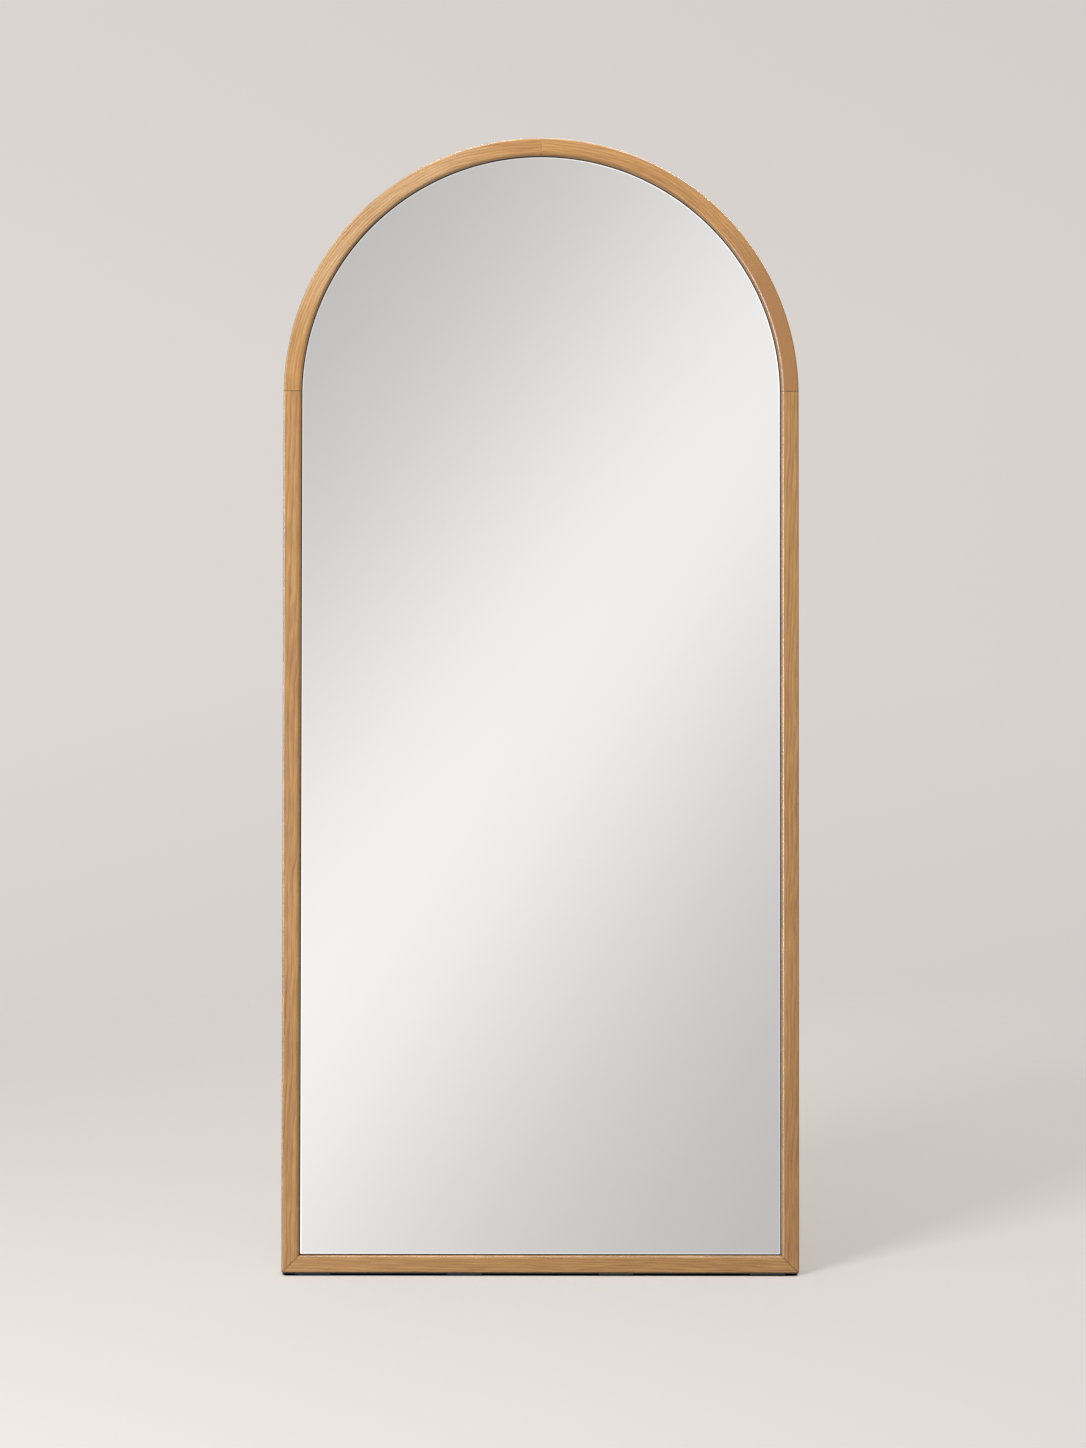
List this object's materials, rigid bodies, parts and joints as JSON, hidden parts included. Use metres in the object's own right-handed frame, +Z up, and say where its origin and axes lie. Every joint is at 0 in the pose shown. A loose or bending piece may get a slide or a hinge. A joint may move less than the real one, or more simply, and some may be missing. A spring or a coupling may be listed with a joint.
{
  "type": "arched standing mirror",
  "caption": "Tall arched mirror in a slim oak frame that leans back on a folding rear stand and can also hang on a wall.",
  "frame": {"origin": "on the floor at the middle of the footprint, between the frame's front lower edge and the stand's feet", "axes": "+Z up, -Y towards the person who looks into the mirror, +X to that person's right"},
  "size_m": [0.75, 0.2152, 1.6448],
  "materials": {
    "oak_frame": "satin oiled oak",
    "oak_stand": "plain sanded oak",
    "beech_dowel": "raw beech",
    "silvered_glass": "polished, silvered behind",
    "safety_film": "film",
    "hardboard": "smooth brown hardboard",
    "zinc_steel": "zinc plated",
    "black_steel": "black powder coat",
    "black_screw": "black oxide",
    "nylon": "natural nylon",
    "rubber": "matt black",
    "felt": "grey felt"
  },
  "bodies": {
    "mirror": {"arch_rail_left": "oak_frame", "arch_rail_right": "oak_frame", "back_panel": "hardboard", "backing_film": "safety_film", "bottom_rail": "oak_frame", "bracket_screws": "black_screw", "crown_dowels": "beech_dowel", "floor_pads": "rubber", "framing_points": "zinc_steel", "hanger_left": "zinc_steel", "hanger_right": "zinc_steel", "hanger_screws": "zinc_steel", "hinge_board": "oak_stand", "hinge_board_screws": "zinc_steel", "mirror_glass": "silvered_glass", "mitre_keys": "beech_dowel", "pivot_bolt_left": "zinc_steel", "pivot_bolt_right": "zinc_steel", "pivot_nut_left": "zinc_steel", "pivot_nut_right": "zinc_steel", "seam_dowels_left": "beech_dowel", "seam_dowels_right": "beech_dowel", "stand_bracket_left": "black_steel", "stand_bracket_right": "black_steel", "stile_left": "oak_frame", "stile_right": "oak_frame", "tether_bracket": "black_steel", "tether_screws": "black_screw", "wall_bumpers": "felt"},
    "stand": {"stand_leg_left": "oak_stand", "stand_leg_right": "oak_stand", "stand_rung_upper": "oak_stand", "stand_rung_lower": "oak_stand", "foot_cap_left": "rubber", "foot_cap_right": "rubber", "pivot_bush_left": "nylon", "pivot_bush_right": "nylon"}
  },
  "joints": [
    {"name": "stand_fold", "type": "hinge", "parent": "mirror", "child": "stand", "pos_m": [0, 0.02476, 0.99563], "axis": [-1, 0, 0], "range_deg": [0, 10.4]}
  ]
}
